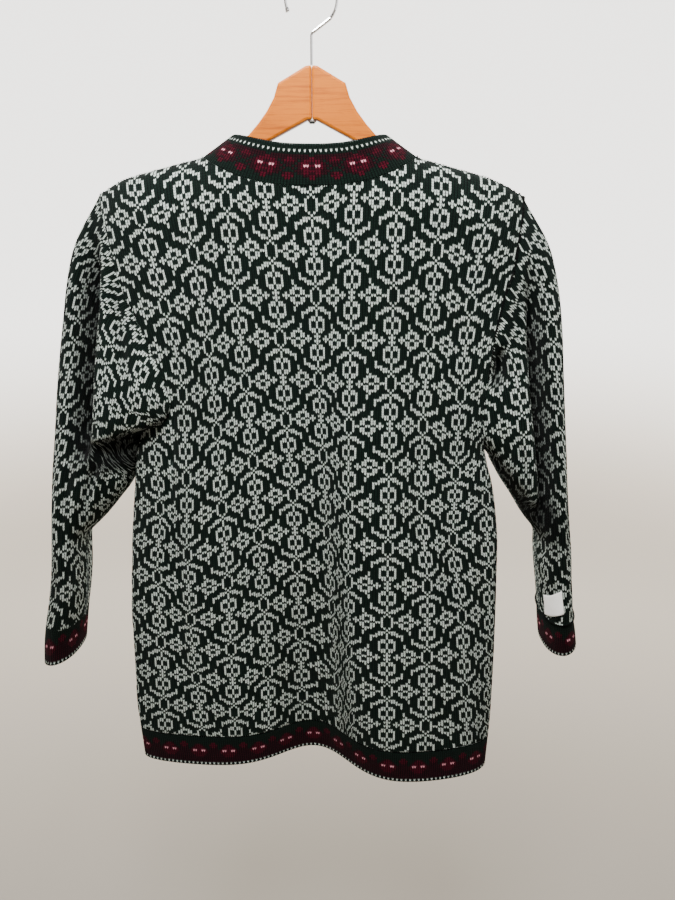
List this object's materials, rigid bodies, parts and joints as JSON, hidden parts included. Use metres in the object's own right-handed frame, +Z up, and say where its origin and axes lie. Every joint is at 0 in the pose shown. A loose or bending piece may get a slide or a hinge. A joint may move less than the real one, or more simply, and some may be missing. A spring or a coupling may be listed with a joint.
{
  "type": "cardigan on a hanger",
  "caption": "Knitted wool cardigan with a patterned two-colour body and banded neck, hem and cuffs, buttoned up and hanging from a wooden hanger with a metal hook.",
  "frame": {"origin": "inside top of the hook's bend, where a rail or a knob carries the hanger", "axes": "+Z up along the hook's stem, -Y towards the buttoned fronts, +X towards the wearer's left sleeve"},
  "size_m": [0.669, 0.1456, 0.8816],
  "materials": {
    "body_knit": "wool, stranded two-colour stocking stitch, bottle green and off-white",
    "band_knit": "wool, dark burgundy and green bands with pink and off-white stitches",
    "varnished_wood": "light wood, clear satin varnish",
    "chrome": "polished",
    "pewter": "cast pewter, satin",
    "label_cloth": "woven cream label, bare"
  },
  "bodies": {
    "root": {"back": "body_knit", "front_left": "body_knit", "front_right": "body_knit", "sleeve_left": "body_knit", "sleeve_right": "body_knit", "cuff_left": "band_knit", "cuff_right": "band_knit", "hem_band_back": "band_knit", "hem_band_left_front": "band_knit", "hem_band_right_front": "band_knit", "neckband": "band_knit", "button_band_left": "band_knit", "buttonhole_band_right": "band_knit", "button_1": "pewter", "button_2": "pewter", "button_3": "pewter", "button_4": "pewter", "button_5": "pewter", "button_6": "pewter", "button_7": "pewter", "sleeve_label": "label_cloth", "hanger_arm_left": "varnished_wood", "hanger_arm_right": "varnished_wood", "hook": "chrome", "hook_nut": "chrome"}
  },
  "joints": []
}
